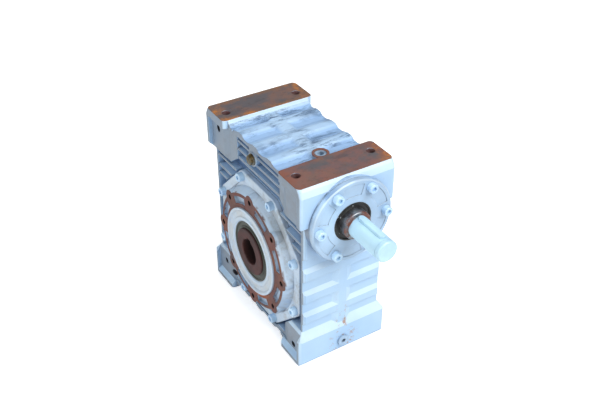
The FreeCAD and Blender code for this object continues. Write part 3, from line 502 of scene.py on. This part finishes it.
def cap_material():
    """Round input and rear covers and drain plug, fully painted."""
    s = Shader("round_cover_enamel")
    paint = paint_layer(s, 0.3, 0.3)
    paint = s.mix(s.smooth(s.noise(18.0, 4.0), 0.35, 0.6, 0.05, 0.4), paint, srgb(150, 166, 182))
    # Painted shade with some grime: patchy grey darkening in corners and gaps
    seam_shade = s.product(s.crevices(12 * MM), s.smooth(s.noise(90.0, 5.0, 0.7), 0.5, 0.65), 0.3)
    paint = s.mix(seam_shade, paint, srgb(120, 122, 118))
    return s.finish(paint, 0.38, 0.0, paint_height(s), 0.25 * MM, 1.4 * MM, 0.3)


def screw_material():
    """Screws painted over together with the casting, with worn edges."""
    s = Shader("painted_screw")
    tone = s.noise(60.0, 5.0, 0.65)
    paint = s.mix(s.smooth(tone, 0.4, 0.65), srgb(196, 226, 250), srgb(176, 208, 242))
    worn = s.product(s.edges(0.8 * MM, 0.06, 0.3), s.smooth(s.noise(120.0, 5.0, 0.7), 0.52, 0.64))
    colour = s.mix(s.product(worn, 0.55), paint, srgb(132, 124, 112))
    # Painted shade with some grime: patchy greenish darkening in the socket and under the head
    seam_shade = s.product(s.crevices(3 * MM), s.smooth(s.noise(150.0, 4.0, 0.7), 0.46, 0.6))
    colour = s.mix(s.product(seam_shade, 0.35), colour, srgb(120, 134, 122))
    return s.finish(colour, 0.36, 0.0, paint_height(s), 0.2 * MM, 0.9 * MM, 0.35)


def shaft_material():
    """Input shaft and key: painted from the shoulder outwards, bare behind it."""
    s = Shader("input_shaft_steel")
    edge = s.math("ADD", s.y, s.product(s.noise(70.0, 5.0, 0.7), 5 * MM))
    painted = s.smooth(edge, -SHAFT_SHOULDER_Y + 2.2 * MM, -SHAFT_SHOULDER_Y + 0.4 * MM)
    paint = s.mix(s.smooth(s.noise(26.0, 4.0), 0.4, 0.65), srgb(194, 230, 246), srgb(180, 216, 238))
    streaks = s.smooth(s.noise(24.0, 4.0, 0.6, (3.0, 0.4, 3.0)), 0.5, 0.7)
    paint = s.mix(s.product(streaks, 0.3), paint, srgb(176, 208, 226))
    steel = s.mix(s.smooth(s.noise(90.0, 6.0, 0.7), 0.42, 0.62), srgb(142, 146, 150), srgb(96, 94, 96))
    rusty = s.product(s.smooth(s.y, -SHAFT_SHOULDER_Y + 6 * MM, -SHAFT_SHOULDER_Y + 1 * MM),
                      s.smooth(s.noise(60.0, 6.0, 0.7), 0.42, 0.56))
    steel = s.mix(rusty, steel, srgb(112, 62, 44))
    rings = s.noise(30.0, 3.0, 0.6, (1.0, 60.0, 1.0))
    colour = s.mix(painted, steel, paint)
    roughness = s.blend(painted, 0.42, 0.4)
    metallic = s.product(s.math("SUBTRACT", 1.0, painted), s.math("SUBTRACT", 1.0, rusty), 0.85)
    height = s.blend(painted, s.product(rings, 0.3), s.product(s.noise(55.0, 4.0), 1.0))
    return s.finish(colour, roughness, metallic, height, 0.2 * MM, 1.0 * MM, s.product(painted, 0.3))


def hollow_shaft_material():
    """Hollow shaft with a brown rust film and painted shade down the bore."""
    s = Shader("hollow_shaft_rust")
    film = s.noise(48.0, 7.0, 0.7)
    colour = s.mix(s.smooth(film, 0.36, 0.64), srgb(60, 36, 36), srgb(86, 48, 44))
    turned = s.noise(26.0, 2.0, 0.5, (40.0, 1.0, 1.0))
    colour = s.mix(s.smooth(turned, 0.5, 0.7, 0.0, 0.35), colour, srgb(56, 42, 40))
    # Painted shade: near black down the bore, away from its mouth
    inside = s.smooth(s.distance(s.y, s.z), BORE_RADIUS + 4.5 * MM, BORE_RADIUS + 0.5 * MM)
    bore_shade = s.product(inside, s.smooth(s.size(s.x), HOLLOW_SHAFT_END_X - 0.5 * MM,
                                      HOLLOW_SHAFT_END_X - 11.5 * MM))
    colour = s.mix(s.product(bore_shade, 0.8), colour, srgb(26, 18, 18))
    return s.finish(colour, 0.62, 0.15, film, 0.12 * MM, 0.7 * MM)


def rubber_material(name, tint, speck_colour, speck_share, speck_scale=75.0):
    """Seal rubber with a dusty film and a few bright specks."""
    s = Shader(name)
    film = s.smooth(s.noise(70.0, 6.0, 0.7), 0.42, 0.7)
    colour = s.mix(s.product(film, 0.3), tint, srgb(88, 90, 84))
    colour = s.mix(s.product(s.specks(speck_scale, speck_share), 0.8), colour, speck_colour)
    return s.finish(colour, s.blend(film, 0.42, 0.7), 0.0, s.noise(300.0), 0.08 * MM, 0.5 * MM)


def metal_material(name, light, dark, roughness, metallic=0.9, scale=60.0, relief=0.05 * MM, stretch=None):
    """Plain metal with two tones, a fine turned grain and uneven polish."""
    s = Shader(name)
    tone = s.noise(scale, 6.0, 0.65, stretch)
    colour = s.mix(s.smooth(tone, 0.35, 0.68), light, dark)
    grain = s.noise(scale * 6.0, 3.0, 0.6, stretch)
    gloss = s.blend(tone, roughness - 0.1, roughness + 0.14)
    return s.finish(colour, gloss, metallic, grain, relief, 0.5 * MM)


def plug_brass_material():
    """Level plug: dull brass gone brown, paint left in its corners."""
    s = Shader("dull_brass")
    tone = s.noise(110.0, 6.0, 0.7)
    colour = s.mix(s.smooth(tone, 0.38, 0.62), srgb(112, 94, 52), srgb(66, 52, 34))
    colour = s.mix(s.product(s.smooth(s.noise(60.0, 5.0), 0.52, 0.64), 0.7), colour, srgb(142, 140, 130))
    return s.finish(colour, 0.5, 0.45, tone, 0.15 * MM, 0.8 * MM)


def gasket_material():
    """Oiled paper."""
    s = Shader("gasket_paper")
    fibres = s.noise(420.0, 6.0, 0.75)
    colour = s.mix(s.smooth(fibres, 0.4, 0.65), srgb(96, 88, 70), srgb(66, 60, 50))
    return s.finish(colour, 0.8, 0.0, fibres, 0.06 * MM)


def dress(material, *names):
    """Give one material to CAD nodes by name."""
    for name in names:
        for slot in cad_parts[name].material_slots:
            slot.material = material


def sides(stem):
    """Names of the left and the right node of a pair."""
    return stem + "_left", stem + "_right"


def ends(stem):
    """Names of the front and the rear node of a pair."""
    return stem + "_front", stem + "_rear"


def dress_all():
    """Give every CAD node its material."""
    dress(casing_material(), "housing")
    dress(cover_material(), *sides("output_cover"))
    dress(cap_material(), "input_cover", "rear_cover", "drain_plug")
    dress(screw_material(), *sides("output_cover_screws"), *ends("input_cover_screws"))
    dress(shaft_material(), "worm_shaft", "input_key")
    dress(hollow_shaft_material(), "hollow_output_shaft")
    dress(rubber_material("output_seal_rubber", srgb(66, 70, 62), srgb(110, 112, 100), 0.12),
          *sides("output_seal"))
    dress(rubber_material("input_seal_rubber", srgb(18, 18, 20), srgb(176, 182, 186), 0.16, 150.0),
          "input_seal")
    dress(plug_brass_material(), *sides("level_plug"))
    dress(metal_material("plug_steel", srgb(156, 180, 204), srgb(96, 112, 132), 0.5, 0.1), "filler_plug")
    dress(gasket_material(), *sides("output_gasket"), *ends("input_gasket"))
    dress(metal_material("wheel_bronze", srgb(196, 150, 84), srgb(160, 116, 62), 0.32), "worm_wheel_rim")
    dress(metal_material("hub_iron", srgb(104, 104, 106), srgb(80, 80, 84), 0.5), "wheel_hub")
    dress(metal_material("ground_steel", srgb(178, 180, 184), srgb(150, 152, 158), 0.22),
          *sides("output_bearing_outer"), *sides("output_bearing_inner"), *sides("output_bearing_balls"),
          *ends("input_bearing_outer"), *ends("input_bearing_inner"), *ends("input_bearing_rollers"))
    dress(metal_material("pressed_steel", srgb(150, 146, 138), srgb(120, 116, 110), 0.4),
          *sides("output_bearing_cage"), *ends("input_bearing_cage"))
    dress(metal_material("turned_steel", srgb(150, 150, 152), srgb(116, 116, 120), 0.35),
          *sides("shaft_spacer"), "wheel_key")


# ---------------------------------------------------------------- stage, light and camera

def make_floor():
    """Pale floor under the lower feet, bright enough to read as white."""
    s = Shader("pale_floor")
    speckle = s.noise(14.0, 4.0)
    colour = s.mix(s.smooth(speckle, 0.3, 0.7), srgb(252, 252, 252), srgb(249, 250, 250))
    material = s.finish(colour, 0.9, 0.0, s.noise(220.0), 0.03 * MM)
    surface = [node for node in s.nodes if node.type == "BSDF_PRINCIPLED"][0]
    surface.inputs["Emission Color"].default_value = (1.0, 1.0, 1.0, 1.0)
    seen = s.add("ShaderNodeLightPath").outputs["Is Camera Ray"]
    glow = s.smooth(s.distance(s.x, s.y), 0.7, 2.2, FLOOR_GLOW, FAR_FLOOR_GLOW)
    s.links.new(s.product(seen, glow), surface.inputs["Emission Strength"])
    reach = 6.0
    mesh = bpy.data.meshes.new("floor")
    outline = [(-reach, -reach), (reach, -reach), (reach, reach), (-reach, reach)]
    mesh.from_pydata([(x, y, cad_box[0].z) for x, y in outline], [], [(0, 1, 2, 3)])
    mesh.materials.append(material)
    floor = bpy.data.objects.new("floor", mesh)
    bpy.context.collection.objects.link(floor)


def add_light(name, place, target, power, size, tint):
    """Square soft light aimed at a target."""
    data = bpy.data.lights.new(name, "AREA")
    data.energy = power
    data.size = size
    data.color = tint
    lamp = bpy.data.objects.new(name, data)
    lamp.location = place
    lamp.rotation_euler = (Vector(target) - Vector(place)).to_track_quat("-Z", "Y").to_euler()
    bpy.context.collection.objects.link(lamp)


def make_light():
    """Dim white surroundings, a key from the front and weak fills from above and the left."""
    world = bpy.data.worlds.new("studio")
    world.use_nodes = True
    tree = world.node_tree
    background = tree.nodes["Background"]
    background.inputs["Color"].default_value = (0.93, 0.97, 1.0, 1.0)
    strength = tree.nodes.new("ShaderNodeMapRange")
    strength.inputs["To Min"].default_value = SKY_LIGHT
    strength.inputs["To Max"].default_value = SKY_SEEN
    tree.links.new(tree.nodes.new("ShaderNodeLightPath").outputs["Is Camera Ray"], strength.inputs["Value"])
    tree.links.new(strength.outputs["Result"], background.inputs["Strength"])
    bpy.context.scene.world = world
    target = (cad_box[0] + cad_box[1]) / 2
    add_light("key", (0.46, -1.5, 1.75), target, 49.0, 1.3, (1.0, 1.0, 0.99))
    add_light("top", (0.3, 0.9, 1.6), target, 5.0, 0.8, (0.85, 0.93, 1.0))
    add_light("left", (-1.7, -0.2, 0.8), target, 13.0, 0.8, (0.97, 0.99, 1.0))
    view = bpy.context.scene.view_settings
    view.view_transform = "Standard"
    view.look = "None"


def make_camera():
    """Camera above the front left corner, looking down at the casing."""
    data = bpy.data.cameras.new("camera")
    data.sensor_width = 36.0
    data.lens = 51.5
    data.clip_start = 0.01
    camera = bpy.data.objects.new("camera", data)
    camera.location = (-0.5113, -0.8402, 0.7516)
    direction = Vector((0.4294, 0.6965, -0.5749))
    camera.rotation_euler = direction.to_track_quat("-Z", "Y").to_euler()
    bpy.context.collection.objects.link(camera)
    bpy.context.scene.camera = camera


dress_all()
make_floor()
make_light()
make_camera()
